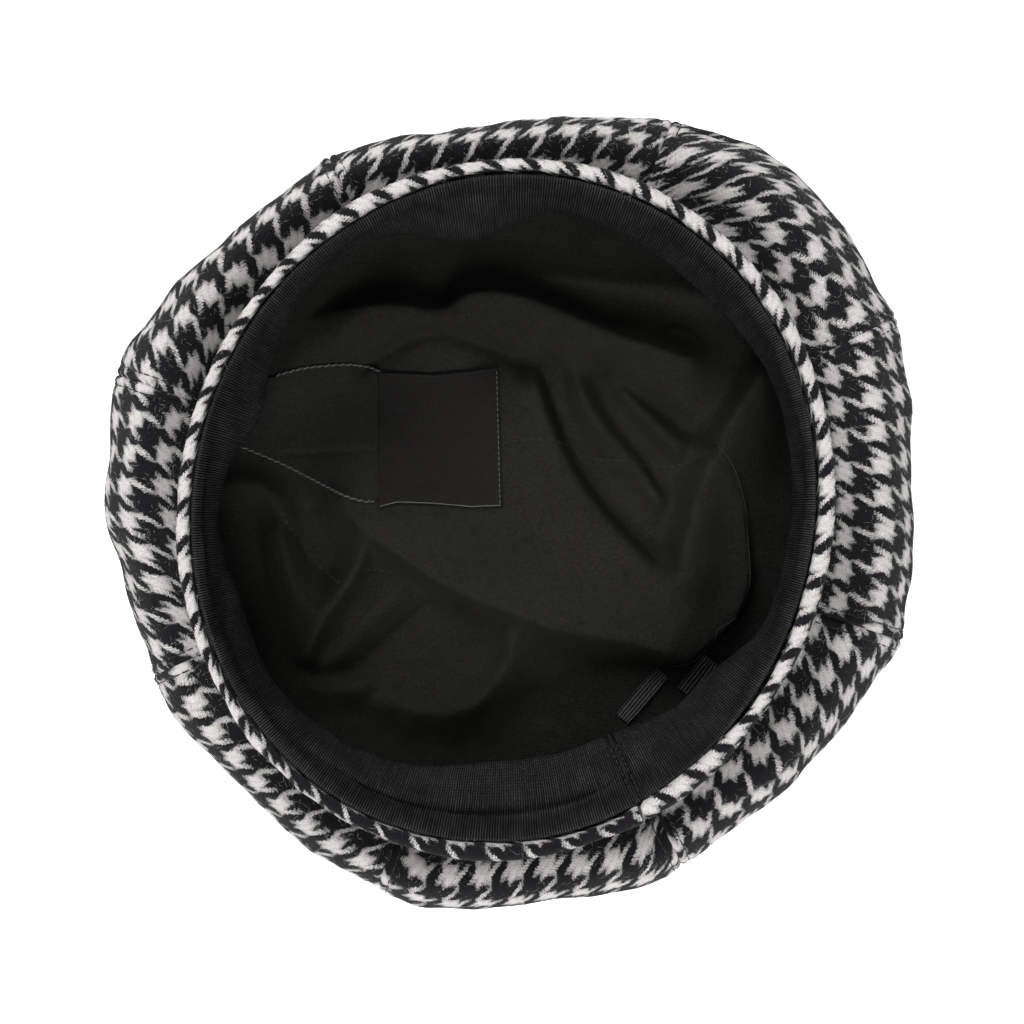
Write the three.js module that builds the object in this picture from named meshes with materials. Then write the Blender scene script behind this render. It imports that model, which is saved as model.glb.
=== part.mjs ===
// An eight-panel tweed beret lying crown down, with its head opening up.
// Millimetres, +Z up, +Y towards the front of the hat, origin on the ground under its middle.
import * as THREE from 'three';

// Heights above the ground
const RIM_HEIGHT = 70;
const JOINT_HEIGHT = 34;
const WIDEST_HEIGHT = 24;

// Cloth
const TWEED = 2.0;
const LINING = 1.0;
const WEBBING = 1.2;
const TRIM = 0.8;
const GAP = 0.3;

// The rim is a ring for a 57 cm head, pulled oval as it lies
const RIM_RADIUS = 94.8;
const RIM_SHIFT = { size: 1.7, towards: 123 };
const RIM_OVAL = { size: 3.6, along: 73 };
const FOLD = { thickness: 4.2, swell: 0.9, towards: -5 };

// Crown: how far the flat rest lies inside the widest edge, and the hole where the points meet.
// Its upper side is full, an ellipse with a higher exponent than 2, and swells beside the band:
// the swell's sizes are shares of the way from the joint out to the widest edge.
const ROLL = 27;
const CROWN_POINT = 2;
const CROWN_FULLNESS = 2.9;
const CROWN_SWELL = { height: 0.33, foot: 0.12, crest: 0.6, fall: 0.3, start: 0.05, full: 0.45 };

// A row for each panel, from its first seam on: the outline's distance from the middle
// at the seam and a quarter, a half and three quarters of the way to the next seam
const PANELS = [
  { seam: 27, start: 128.5, quarter: 129.0, half: 131.7, late: 130.0 },
  { seam: 67.5, start: 126.0, quarter: 119.2, half: 115.7, late: 115.6 },
  { seam: 117, start: 118.0, quarter: 116.6, half: 117.5, late: 120.9 },
  { seam: 160.5, start: 123.6, quarter: 121.1, half: 118.4, late: 115.3 },
  { seam: 204.5, start: 116.4, quarter: 114.8, half: 114.2, late: 115.0 },
  { seam: 250.5, start: 118.4, quarter: 118.8, half: 116.1, late: 117.1 },
  { seam: 296, start: 116.3, quarter: 115.0, half: 116.0, late: 117.9 },
  { seam: 342, start: 122.2, quarter: 119.9, half: 119.9, late: 122.5 },
];

// Dents in the crown's upper side: where they run round the hat and up the side
// (0 at the widest edge, 1 at the band), how wide they are both ways, and how deep.
// DENT_FADE is how much of the way up they take to grow, and to end short of the band.
const DENT_FADE = { grow: 0.2, end: 0.35 };
const DENT_SHARE = { inwards: 0.25, down: 0.9 };
const CROWN_DENTS = [
  { angle: 61, rise: 0.30, turn: 5, width: 0.28, depth: 3.5 },
  { angle: 68, rise: 0.62, turn: 6, width: 0.26, depth: 5.0 },
  { angle: 133, rise: 0.95, turn: 8, width: 0.30, depth: 6.0 },
  { angle: 222, rise: 0.85, turn: 16, width: 0.30, depth: 3.0 },
  { angle: 270, rise: 0.80, turn: 14, width: 0.30, depth: 3.0 },
  { angle: 305, rise: 0.75, turn: 8, width: 0.30, depth: 2.5 },
];

// Sweatband: width, slant that makes room for the lining behind it, and a row for each
// lobe of the free edge: where, how wide round the hat, and how far it hangs inwards
const SWEATBAND_WIDTH = 30;
const SWEATBAND_DROP = 2;
const SWEATBAND_SLANT = 1.8;
const SWEATBAND_BEND = 1.6;
const LEAST_FALL = 0.3;
const SWEATBAND_LOBES = [
  { angle: 60, turn: 26, inset: 4.5 },
  { angle: 98, turn: 11, inset: 9.5 },
  { angle: 158, turn: 11, inset: 7.5 },
  { angle: 200, turn: 20, inset: 4.0 },
  { angle: 235, turn: 18, inset: 6.0 },
  { angle: 264, turn: 19, inset: 14.0 },
  { angle: 293, turn: 21, inset: 14.5 },
  { angle: 322, turn: 11, inset: 5.0 },
];

// Lining: its lowest height, how far it puffs up in the middle, where its wall follows the
// crown and how far inside it, and a row for each fold.
// A fold's crest follows a path in the plan, and falls away on its left and right over two
// widths. A lower FOLD_SHARPNESS makes the crests sharper. Folds flatten to FOLD_AT_EDGE of
// their height over the last FOLD_FADE.
const LINING_REST = 4.0;
const LINING_PUFF = 3.0;
const FOLD_FADE = 14;
const FOLD_SHARPNESS = 1.5;
const FOLD_AT_EDGE = 0.35;
const LINING_SPREAD = 30;
const LINING_POINT = 1.5;
const LINING_TUCK = 52;
const LINING_CLEARANCE = 2.1;
const LINING_WALL = [1.3, 1.65, 2, 2.27, 2.57, 2.7, 2.81, 2.9, 2.955];
const LINING_FOLDS = [
  {
    rise: 15.3, left: 6, right: 14,
    path: [[-74, 52], [-62, 59], [-48, 62], [-34, 62], [-24, 61], [-14, 65], [-4, 66], [8, 63],
      [20, 58], [32, 53], [44, 49], [53, 46]],
  },
  {
    rise: 14.4, left: 26, right: 5,
    path: [[-46, -2], [-38, -9], [-30, -14], [-20, -21], [-9, -26], [2, -30], [12, -34],
      [22, -36], [34, -38], [46, -41]],
  },
  {
    rise: 11.9, left: 4, right: 18,
    path: [[8, 38], [11, 29], [15, 19], [20, 10], [26, 2], [33, -6], [41, -13], [47, -18],
      [53, -18]],
  },
  {
    rise: 8, left: 4, right: 6,
    path: [[20, 44], [23, 34], [28, 26], [34, 19], [40, 12], [45, 4]],
  },
  {
    rise: 7.5, left: 5, right: 4,
    path: [[33, 40], [38, 33], [45, 26], [51, 20]],
  },
  {
    rise: 14.4, left: 15, right: 5,
    path: [[79, 47], [73, 37], [66, 26], [61, 16], [57, 5], [54, -6], [52, -14], [50, -19]],
  },
  {
    rise: 10.2, left: 3.5, right: 7,
    path: [[-50, 4], [-46, -2], [-44, -9], [-46, -16], [-51, -24], [-57, -33], [-62, -44]],
  },
  {
    rise: 8.5, left: 5, right: 7,
    path: [[-70, -6], [-67, -16], [-64, -24], [-59, -30], [-53, -27]],
  },
  {
    rise: 8.5, left: 5, right: 5,
    path: [[-88, 8], [-80, 9], [-73, 6], [-68, -1]],
  },
  {
    rise: 9.3, left: 5, right: 9,
    path: [[-60, -54], [-50, -53], [-42, -52], [-36, -57], [-28, -60], [-18, -60], [-10, -57],
      [-4, -50], [0, -43], [1, -36]],
  },
  {
    rise: 6.8, left: 7, right: 6,
    path: [[-34, -24], [-42, -31], [-50, -40], [-56, -47]],
  },
  {
    rise: 4.2, left: 5, right: 3,
    path: [[14, 72], [30, 70], [46, 69], [60, 66]],
  },
  {
    rise: 7.6, left: 1.5, right: 12,
    path: [[64, 20], [70, 8], [72, -6], [73, -20], [69, -31], [62, -38], [55, -45], [48, -46]],
  },
  {
    rise: 4, left: 1.4, right: 1.4,
    path: [[45, 51], [48, 55], [52, 56], [57, 53], [58, 49]],
  },
  {
    rise: -8.5, left: 4, right: 4,
    path: [[-24, 71], [-20, 66]],
  },
  {
    rise: -6, left: 4, right: 3,
    path: [[12, 44], [15, 33], [19, 22], [24, 12], [30, 4], [37, -4], [44, -12]],
  },
  {
    rise: -5, left: 7, right: 5,
    path: [[36, 4], [42, -4], [46, -10]],
  },
  {
    rise: -5, left: 3, right: 3,
    path: [[28, 43], [31, 34], [37, 25], [43, 17], [47, 10]],
  },
  {
    rise: -5.1, left: 2.5, right: 2.5,
    path: [[34, 40], [44, 33], [53, 27], [61, 21]],
  },
  {
    rise: -4, left: 4, right: 4,
    path: [[4, 44], [14, 44], [26, 42]],
  },
  {
    rise: -4.2, left: 2, right: 3,
    path: [[-45, 45], [-35, 51], [-27, 54], [-20, 55], [-12, 53], [-4, 50], [4, 46]],
  },
  {
    rise: -4, left: 5, right: 5,
    path: [[-64, -2], [-60, -10], [-56, -16]],
  },
  {
    rise: -5.1, left: 4, right: 4,
    path: [[-18, -28], [-28, -35], [-38, -44], [-50, -49], [-62, -50]],
  },
  {
    rise: -3.4, left: 4, right: 4,
    path: [[-80, -8], [-78, -25], [-74, -38], [-68, -52], [-58, -63]],
  },
  {
    rise: -3.4, left: 2.5, right: 2.5,
    path: [[-40, -48], [-40, -54]],
  },
  {
    rise: -3.4, left: 3, right: 3,
    path: [[13, 69], [22, 64], [32, 59]],
  },
];

// Label, sewn flat on its stay: middle, size and turn, and the stay's two edges from under
// the label to under the sweatband
const LABEL = { middle: [-21.5, 23], width: 37, height: 40.5, turn: 1.5 };
const PATCH_LIFT = 1.5;
const STAY_EDGES = {
  upper: { from: [-6, 41], over: [-56, 48], to: [-77, 40.5] },
  lower: { from: [-6, 5.5], over: [-52, 1], to: [-83, 20] },
};

// Short tapes under the loose hem: middle, length, width and direction
const TAPES = [
  { middle: [40.5, -56], length: 19, width: 5, turn: 50 },
  { middle: [57.5, -50], length: 13, width: 6, turn: 54 },
];

const PANEL_STEPS = 6;
const FLAT_STEPS = 3;
const ROLL_STEPS = 5;
const UPPER_RISES = [0.13, 0.27, 0.42, 0.57, 0.7, 0.81, 0.9, 0.955, 0.98, 1];
const RING_STEPS = 60;
const LINING_STEPS = 54;
const FLOOR_RINGS = 8;
const PATH_STEPS = 6;

const radians = THREE.MathUtils.degToRad;
const bell = (offset, width) => Math.exp(-((offset / width) ** 2));
const around = (radius, angle, height) =>
  new THREE.Vector3(radius * Math.cos(angle), radius * Math.sin(angle), height);

// The smaller way round from one angle to another, in degrees
function turnBetween(angle, degrees) {
  const turn = THREE.MathUtils.radToDeg(angle) - degrees;
  return THREE.MathUtils.euclideanModulo(turn + 180, 360) - 180;
}

function rimRadius(angle) {
  const shift = RIM_SHIFT.size * Math.cos(angle - radians(RIM_SHIFT.towards));
  const oval = RIM_OVAL.size * Math.cos(2 * (angle - radians(RIM_OVAL.along)));
  return RIM_RADIUS + shift + oval;
}

function foldThickness(angle) {
  return FOLD.thickness + FOLD.swell * Math.cos(angle - radians(FOLD.towards));
}

// The outline: in each panel a smooth curve through its five distances, with a corner at the seam
function outlineRadius(angle) {
  const degrees = THREE.MathUtils.euclideanModulo(
    THREE.MathUtils.radToDeg(angle) - PANELS[0].seam, 360) + PANELS[0].seam;
  const found = PANELS.findLastIndex((row) => row.seam <= degrees + 1e-9);
  const panel = PANELS[found];
  const next = PANELS[(found + 1) % PANELS.length];
  const width = THREE.MathUtils.euclideanModulo(next.seam - panel.seam, 360);
  const way = (degrees - panel.seam) / width;
  const stops = [panel.start, panel.quarter, panel.half, panel.late, next.start];
  let radius = 0;
  stops.forEach((stop, own) => {
    let share = 1;
    stops.forEach((_, other) => {
      if (other !== own) share *= (4 * way - other) / (own - other);
    });
    radius += stop * share;
  });
  return radius;
}

// A point on the crown's outer face. `way` is 0 to 1 over the flat rest, 1 to 2 round the
// roll to the widest edge, and 2 to 3 over the upper side to the band.
function crownPoint(angle, way) {
  const reach = outlineRadius(angle);
  const flat = reach - ROLL;
  if (way <= 1) {
    return around(CROWN_POINT + (flat - CROWN_POINT) * way, angle, 0);
  }
  if (way <= 2) {
    const bend = (way - 1) * Math.PI / 2;
    return around(flat + ROLL * Math.sin(bend), angle, WIDEST_HEIGHT * (1 - Math.cos(bend)));
  }
  const rise = way - 2;
  const bend = rise * Math.PI / 2;
  const joint = rimRadius(angle) - foldThickness(angle) / 2;
  const outwards = Math.max(0, Math.cos(bend)) ** (2 / CROWN_FULLNESS);
  const climb = (JOINT_HEIGHT - WIDEST_HEIGHT) * Math.sin(bend) ** (2 / CROWN_FULLNESS);
  const swell = CROWN_SWELL.height * (reach - joint)
    * THREE.MathUtils.smoothstep(outwards, CROWN_SWELL.foot, CROWN_SWELL.crest)
    * bell(Math.max(0, outwards - CROWN_SWELL.crest), CROWN_SWELL.fall)
    * THREE.MathUtils.smoothstep(rise, CROWN_SWELL.start, CROWN_SWELL.full);
  let dent = 0;
  for (const row of CROWN_DENTS) {
    dent += row.depth * bell(turnBetween(angle, row.angle), row.turn) * bell(rise - row.rise, row.width);
  }
  dent *= Math.sin(Math.min(1, (1 - rise) / DENT_FADE.end) * Math.PI / 2) * Math.min(1, rise / DENT_FADE.grow);
  const radius = joint + (reach - joint) * outwards;
  const height = WIDEST_HEIGHT + climb + swell;
  return around(radius - dent * DENT_SHARE.inwards, angle, height - dent * DENT_SHARE.down);
}

// The same face moved into the hat by a depth of cloth, in the upright plane at that angle
function insideCrown(angle, way, depth) {
  const step = 0.004;
  const here = crownPoint(angle, way);
  const before = crownPoint(angle, way - step);
  const after = crownPoint(angle, Math.min(3, way + step));
  const run = Math.hypot(after.x, after.y) - Math.hypot(before.x, before.y);
  const climb = after.z - before.z;
  const share = depth / Math.hypot(run, climb);
  return around(Math.hypot(here.x, here.y) - climb * share, angle, here.z + run * share);
}

function curvePoint(row, way) {
  const rest = 1 - way;
  return [0, 1].map((axis) =>
    rest * rest * row.from[axis] + 2 * rest * way * row.over[axis] + way * way * row.to[axis]);
}

// Each fold with its path as a smooth line of short steps
const foldLines = LINING_FOLDS.map((fold) => {
  const stops = fold.path.map((stop) => new THREE.Vector2(...stop));
  return { ...fold, line: new THREE.SplineCurve(stops).getPoints(PATH_STEPS * (stops.length - 1)) };
});

// The nearest step of the line, and on which side of it the place lies, from -1 to 1
function foldRise(fold, x, y) {
  let nearest = Infinity;
  let side = 0;
  for (let step = 1; step < fold.line.length; step += 1) {
    const [start, end] = [fold.line[step - 1], fold.line[step]];
    const [ux, uy] = [end.x - start.x, end.y - start.y];
    const along = ((x - start.x) * ux + (y - start.y) * uy) / (ux * ux + uy * uy);
    const share = THREE.MathUtils.clamp(along, 0, 1);
    const [dx, dy] = [x - start.x - share * ux, y - start.y - share * uy];
    const distance = Math.hypot(dx, dy);
    if (distance < nearest) {
      nearest = distance;
      side = (ux * dy - uy * dx) / (Math.hypot(ux, uy) * Math.max(distance, 1e-6));
    }
  }
  const width = fold.right + (fold.left - fold.right) * (1 + side) / 2;
  return fold.rise * Math.exp(-((nearest / width) ** FOLD_SHARPNESS));
}

// Height of the lining's upper face over a place in the plan. Ridges merge, grooves are cut in.
function liningHeight(x, y) {
  let ridges = 0;
  let grooves = 0;
  for (const fold of foldLines) {
    const rise = foldRise(fold, x, y);
    if (rise > 0) ridges += rise ** 3;
    else grooves += rise;
  }
  const radius = Math.hypot(x, y);
  const edge = outlineRadius(Math.atan2(y, x)) - LINING_SPREAD;
  const fade = FOLD_AT_EDGE + (1 - FOLD_AT_EDGE) * THREE.MathUtils.smoothstep(edge - radius, 0, FOLD_FADE);
  const puff = LINING_PUFF * (1 - Math.min(1, radius / edge) ** 3);
  return LINING_REST + puff + Math.max(0, Math.cbrt(ridges) + grooves) * fade;
}

// A point of the lining's floor, on one of the rings that run round the middle
function floorPoint(angle, ring) {
  const edge = outlineRadius(angle) - LINING_SPREAD;
  const radius = LINING_POINT + (edge - LINING_POINT) * ring / FLOOR_RINGS;
  const [x, y] = [radius * Math.cos(angle), radius * Math.sin(angle)];
  return new THREE.Vector3(x, y, liningHeight(x, y));
}

// The floor's flat facets, as corner triples
function floorFacets() {
  const facets = [];
  for (let ring = 0; ring < FLOOR_RINGS; ring += 1) {
    for (let step = 0; step < LINING_STEPS; step += 1) {
      const turn = 2 * Math.PI / LINING_STEPS;
      const [a, b] = [floorPoint(step * turn, ring), floorPoint((step + 1) * turn, ring)];
      const [c, d] = [floorPoint((step + 1) * turn, ring + 1), floorPoint(step * turn, ring + 1)];
      facets.push(new THREE.Triangle(a, b, c), new THREE.Triangle(a, c, d));
    }
  }
  return facets;
}

// Height of the faceted floor over a place in the plan
function facetHeight(facets, x, y) {
  for (const facet of facets) {
    const plane = facet.getPlane(new THREE.Plane());
    const height = -(plane.constant + plane.normal.x * x + plane.normal.y * y) / plane.normal.z;
    if (facet.containsPoint(new THREE.Vector3(x, y, height))) return height;
  }
  return liningHeight(x, y);
}

// A closed body between two faces, each a grid of points. A ring is joined end to end.
function clothBody(columns, rows, face, back, ring = false) {
  const points = [];
  const triangles = [];
  const wide = ring ? columns : columns + 1;
  for (const side of [face, back]) {
    for (let row = 0; row <= rows; row += 1) {
      for (let column = 0; column < wide; column += 1) {
        points.push(...side(column / columns, row / rows).toArray());
      }
    }
  }
  const behind = wide * (rows + 1);
  const at = (column, row) => row * wide + (ring ? column % columns : column);
  const quad = (a, b, c, d) => triangles.push(a, b, c, a, c, d);
  for (let row = 0; row < rows; row += 1) {
    for (let column = 0; column < columns; column += 1) {
      const [a, b] = [at(column, row), at(column + 1, row)];
      const [c, d] = [at(column + 1, row + 1), at(column, row + 1)];
      quad(a, b, c, d);
      quad(a + behind, d + behind, c + behind, b + behind);
    }
  }
  for (let column = 0; column < columns; column += 1) {
    const [a, b] = [at(column, 0), at(column + 1, 0)];
    quad(b, a, a + behind, b + behind);
    const [c, d] = [at(column, rows), at(column + 1, rows)];
    quad(c, d, d + behind, c + behind);
  }
  for (let row = 0; row < rows && !ring; row += 1) {
    const [a, b] = [at(0, row), at(0, row + 1)];
    quad(a, b, b + behind, a + behind);
    const [c, d] = [at(columns, row), at(columns, row + 1)];
    quad(d, c, c + behind, d + behind);
  }
  return facingOut(points, triangles);
}

function facingOut(points, triangles) {
  const corner = (index) => new THREE.Vector3().fromArray(points, 3 * index);
  let volume = 0;
  for (let start = 0; start < triangles.length; start += 3) {
    const [a, b, c] = triangles.slice(start, start + 3).map(corner);
    volume += a.dot(b.cross(c));
  }
  const geometry = new THREE.BufferGeometry();
  geometry.setAttribute('position', new THREE.Float32BufferAttribute(points, 3));
  geometry.setIndex(volume > 0 ? triangles : triangles.reverse());
  geometry.computeVertexNormals();
  return geometry;
}

// One gore of the crown, a gap short of each seam
function crownPanel(index) {
  const first = radians(PANELS[index].seam);
  const turn = THREE.MathUtils.euclideanModulo(
    PANELS[(index + 1) % PANELS.length].seam - PANELS[index].seam, 360);
  const rows = FLAT_STEPS + ROLL_STEPS + UPPER_RISES.length;
  const wayAt = (share) => {
    const row = share * rows;
    if (row <= FLAT_STEPS) return row / FLAT_STEPS;
    if (row <= FLAT_STEPS + ROLL_STEPS) return 1 + (row - FLAT_STEPS) / ROLL_STEPS;
    return 2 + UPPER_RISES[Math.round(row) - FLAT_STEPS - ROLL_STEPS - 1];
  };
  const angleAt = (across, way) => {
    const radius = Math.hypot(crownPoint(first, way).x, crownPoint(first, way).y);
    const short = GAP / 2 / radius;
    return first + short + (radians(turn) - 2 * short) * across;
  };
  const face = (across, along) => {
    const way = wayAt(along);
    return crownPoint(angleAt(across, way), way);
  };
  const back = (across, along) => {
    const way = wayAt(along);
    const angle = angleAt(across, way);
    if (way <= 1) return crownPoint(angle, way).setZ(TWEED);
    return insideCrown(angle, way, TWEED);
  };
  return clothBody(PANEL_STEPS, rows, face, back);
}

// The tweed band, doubled over at the rim. Each level's trim is how much of its half
// thickness is rounded away.
function headband() {
  const levels = [
    { height: JOINT_HEIGHT + GAP, trim: 0 },
    { height: RIM_HEIGHT - FOLD.thickness / 2, trim: 0 },
    { height: RIM_HEIGHT - FOLD.thickness / 6, trim: 0.18 },
    { height: RIM_HEIGHT, trim: 0.38 },
  ];
  const side = (sign) => (across, along) => {
    const angle = across * 2 * Math.PI;
    const level = levels[Math.round(along * (levels.length - 1))];
    const half = foldThickness(angle) / 2;
    return around(rimRadius(angle) - half + sign * half * (1 - level.trim), angle, level.height);
  };
  return clothBody(RING_STEPS, levels.length - 1, side(1), side(-1), true);
}

// The sweatband hangs from just under the rim; its free edge keeps the tape's width as it leans in
function sweatband() {
  const rows = 5;
  const middle = (angle, along) => {
    let lobes = 0;
    for (const lobe of SWEATBAND_LOBES) {
      lobes += lobe.inset * bell(turnBetween(angle, lobe.angle), lobe.turn);
    }
    const lean = SWEATBAND_SLANT * Math.min(1, 2 * along) + lobes * along ** SWEATBAND_BEND;
    const fall = Math.sqrt(Math.max(LEAST_FALL, 1 - (lobes / SWEATBAND_WIDTH) ** 2));
    const top = rimRadius(angle) - foldThickness(angle) - GAP - WEBBING / 2;
    const height = RIM_HEIGHT - SWEATBAND_DROP - SWEATBAND_WIDTH * along * (1 - (1 - fall) * along);
    return { radius: top - lean, height };
  };
  const side = (sign) => (across, along) => {
    const angle = across * 2 * Math.PI;
    const step = 0.01;
    const above = middle(angle, Math.max(0, along - step));
    const below = middle(angle, Math.min(1, along + step));
    const run = [below.radius - above.radius, below.height - above.height];
    const length = Math.hypot(...run);
    const here = middle(angle, along);
    const half = sign * WEBBING / 2;
    return around(here.radius - half * run[1] / length, angle, here.height + half * run[0] / length);
  };
  return clothBody(RING_STEPS, rows, side(1), side(-1), true);
}

// The lining: crumpled over the middle, then close inside the crown and up behind the sweatband
function lining() {
  const rows = FLOOR_RINGS + LINING_WALL.length + 2;
  const offset = TWEED + LINING_CLEARANCE;
  const section = (angle, row, depth) => {
    if (row <= FLOOR_RINGS) {
      const place = floorPoint(angle, row);
      return place.setZ(place.z + depth - LINING);
    }
    if (row <= FLOOR_RINGS + LINING_WALL.length) {
      return insideCrown(angle, LINING_WALL[row - FLOOR_RINGS - 1], offset + depth);
    }
    const radius = rimRadius(angle) - foldThickness(angle) - GAP - depth;
    return around(radius, angle, row === rows ? LINING_TUCK : JOINT_HEIGHT - offset - depth);
  };
  const side = (depth) => (across, along) =>
    section(across * 2 * Math.PI, Math.round(along * rows), depth);
  return clothBody(LINING_STEPS, rows, side(LINING), side(0), true);
}

// A flat patch laid over the lining. `place` gives its plan position for shares of its two sides.
const facets = floorFacets();
function patch(columns, rows, place, lift, thickness) {
  const face = (height) => (across, along) => {
    const [x, y] = place(across, along);
    return new THREE.Vector3(x, y, facetHeight(facets, x, y) + height);
  };
  return clothBody(columns, rows, face(lift + thickness), face(lift));
}

function turned({ middle, length, width, turn }) {
  const angle = radians(turn);
  return (across, along) => {
    const [u, v] = [(across - 0.5) * length, (along - 0.5) * width];
    return [
      middle[0] + u * Math.cos(angle) - v * Math.sin(angle),
      middle[1] + u * Math.sin(angle) + v * Math.cos(angle),
    ];
  };
}

function label() {
  const place = turned({ ...LABEL, length: LABEL.width, width: LABEL.height });
  return patch(8, 8, place, 2 * PATCH_LIFT + TRIM, TRIM);
}

function labelStay() {
  const place = (across, along) => {
    const upper = curvePoint(STAY_EDGES.upper, across);
    const lower = curvePoint(STAY_EDGES.lower, across);
    return [0, 1].map((axis) => lower[axis] + (upper[axis] - lower[axis]) * along);
  };
  return patch(14, 8, place, PATCH_LIFT, TRIM);
}

const cloth = (color, roughness) => ({ color, roughness, metalness: 0 });
const FINISHES = {
  tweed: cloth(0x8a8786, 0.95),
  webbing: cloth(0x262627, 0.85),
  lining: cloth(0x1b1b1a, 0.9),
  label: cloth(0x141414, 0.6),
  tape: cloth(0x303034, 0.85),
};

const hat = new THREE.Group();

function add(name, geometry, finish) {
  const material = new THREE.MeshStandardMaterial({ ...FINISHES[finish], flatShading: true });
  const mesh = new THREE.Mesh(geometry, material);
  mesh.name = name;
  hat.add(mesh);
}

PANELS.forEach((_, index) => add(`crown_panel_${index + 1}`, crownPanel(index), 'tweed'));
add('headband', headband(), 'tweed');
add('sweatband', sweatband(), 'webbing');
add('lining', lining(), 'lining');
add('label_stay', labelStay(), 'lining');
add('label', label(), 'label');
TAPES.forEach((tape, index) =>
  add(`stay_tape_${index + 1}`, patch(5, 2, turned(tape), PATCH_LIFT, TRIM), 'tape'));

export default hat;
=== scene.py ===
"""The looks of a houndstooth tweed beret that lies crown down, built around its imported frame.

Shapes are worked out in millimetres, in the frame's axes, and turned into metres as each
piece is made. Angles run anticlockwise from +X, seen from above.
"""
import math

import bpy
import numpy as np
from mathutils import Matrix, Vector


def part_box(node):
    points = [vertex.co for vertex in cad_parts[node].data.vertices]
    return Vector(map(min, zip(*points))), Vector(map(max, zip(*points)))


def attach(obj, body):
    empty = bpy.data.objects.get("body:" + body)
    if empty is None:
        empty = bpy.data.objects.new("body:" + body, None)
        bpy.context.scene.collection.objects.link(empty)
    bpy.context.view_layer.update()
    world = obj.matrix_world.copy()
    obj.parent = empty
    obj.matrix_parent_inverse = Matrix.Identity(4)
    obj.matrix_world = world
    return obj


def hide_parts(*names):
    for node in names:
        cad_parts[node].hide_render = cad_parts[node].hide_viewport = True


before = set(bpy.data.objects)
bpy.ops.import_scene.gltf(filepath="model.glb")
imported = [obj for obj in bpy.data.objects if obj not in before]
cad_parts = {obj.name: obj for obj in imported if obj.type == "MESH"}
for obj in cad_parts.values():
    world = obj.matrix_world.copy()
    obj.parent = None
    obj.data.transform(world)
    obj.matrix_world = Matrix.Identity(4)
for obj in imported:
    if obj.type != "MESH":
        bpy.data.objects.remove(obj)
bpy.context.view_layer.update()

MM = 0.001
TURN = 2 * math.pi


def height_of(node, end):
    """Lowest (0) or highest (1) point of a CAD node, in millimetres."""
    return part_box(node)[end].z / MM


def table(columns, *rows):
    """Rows of values as dicts, with the columns' names as keys."""
    return [dict(zip(columns.split(), row)) for row in rows]


# ------ crown, in millimetres
BAND_FOOT = height_of("headband", 0)
GAP = 0.3
JOINT_HEIGHT = BAND_FOOT - GAP
WIDEST_HEIGHT = 24.0
ROLL = 27.0
CROWN_FULLNESS = 2.9
CROWN_SWELL = {"size": 0.33, "foot": 0.12, "crest": 0.6, "fall": 0.3, "start": 0.05, "full": 0.45}
CROWN_POINT = 0.6
TWEED = 2.0

# The widest outline's radii at each panel's first seam and a quarter, a half and three quarters
# of the way on, and the cloth's pattern in the panel: its shift, in repeats, and its turn
PANELS = table(
    "seam radii shift turn",
    (27, (128.5, 129.0, 131.7, 130.0), (0.7, 0.05), 12),
    (67.5, (126.0, 119.2, 115.7, 115.6), (0.9, 0.75), 7),
    (117, (118.0, 116.6, 117.5, 120.9), (0.7, 0.75), 0),
    (160.5, (123.6, 121.1, 118.4, 115.3), (0.9, 0.95), 3),
    (204.5, (116.4, 114.8, 114.2, 115.0), (0.15, 0.65), 1),
    (250.5, (118.4, 118.8, 116.1, 117.1), (0.75, 0.9), 2),
    (296, (116.3, 115.0, 116.0, 117.9), (0.65, 0.6), -2),
    (342, (122.2, 119.9, 119.9, 122.5), (0.45, 0.6), -6),
)
# Dents above the widest edge: rise is 0 there and 1 at the band. They fade out towards both,
# and push the cloth inward and down.
CROWN_DENTS = table(
    "angle rise turn width depth",
    (61, 0.30, 5, 0.28, 3.5),
    (68, 0.62, 6, 0.26, 5.0),
    (133, 0.95, 8, 0.30, 6.0),
    (222, 0.85, 16, 0.30, 3.0),
    (270, 0.80, 14, 0.30, 3.0),
    (305, 0.75, 8, 0.30, 2.5),
)
DENTS = {"foot": 0.2, "top": 0.35, "inward": 0.25, "down": 0.9}

# Relief is given as rows of (lift, place, width), and waves as rows of (size, length, seed).
# Beside a seam the cloth is rolled into it, padded by it, pulled in by topstitching, full beyond.
TOPSTITCH_OFFSET = 2.7
SEAM_RELIEF = [(-0.6, 0, 0.45), (0.25, 1.4, 0.9), (-0.35, TOPSTITCH_OFFSET, 0.45), (0.2, 5.0, 1.8)]
CROWN_WAVES = [(0.7, 34, 3), (0.35, 13, 4)]
NAP_HEIGHT = 0.8
PANEL_COLUMNS = 76
CROWN_ROWS = [(0.0, 1.0, 24), (1.0, 2.0, 30), (2.0, 3.0, 42)]
# The least heights of topstitches and hairs, so that none goes into the ground
STITCH_FLOOR = 0.35
NAP_FLOOR = 0.1

NAP_PER_PANEL = 3500
NAP_ON_BAND = 4600
NAP_RADIUS = 0.03
NAP_LENGTHS = (0.8, 3.0)
NAP_STAND = 0.5
NAP_ROOT = 0.25

# The cloth's pattern repeats over sixteen yarns, and its yarns lie closer one way than the other
REPEAT = {"across": 9.6, "along": 11.8}
YARNS = 16
TWILL_START = 0.0625
DARK_BIAS = 0.26
ARM_DARKENING = 0.16
ARM_GAPS = 0.5

# ------ band and sweatband
RIM_HEIGHT = height_of("headband", 1)
RIM_RADIUS = 94.8
RIM_SHIFT = {"size": 1.7, "towards": 123}
RIM_OVAL = {"size": 3.6, "along": 73}
FOLD = {"thickness": 4.2, "swell": 0.9, "towards": -5, "height": 0.42}
BAND_JOIN = 294.0
BAND_JOIN_RELIEF = [(-0.7, 0, 0.7), (0.3, 2.2, 1.4)]
BAND_WAVES = [(0.45, 40, 8), (0.25, 12, 9)]
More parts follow.
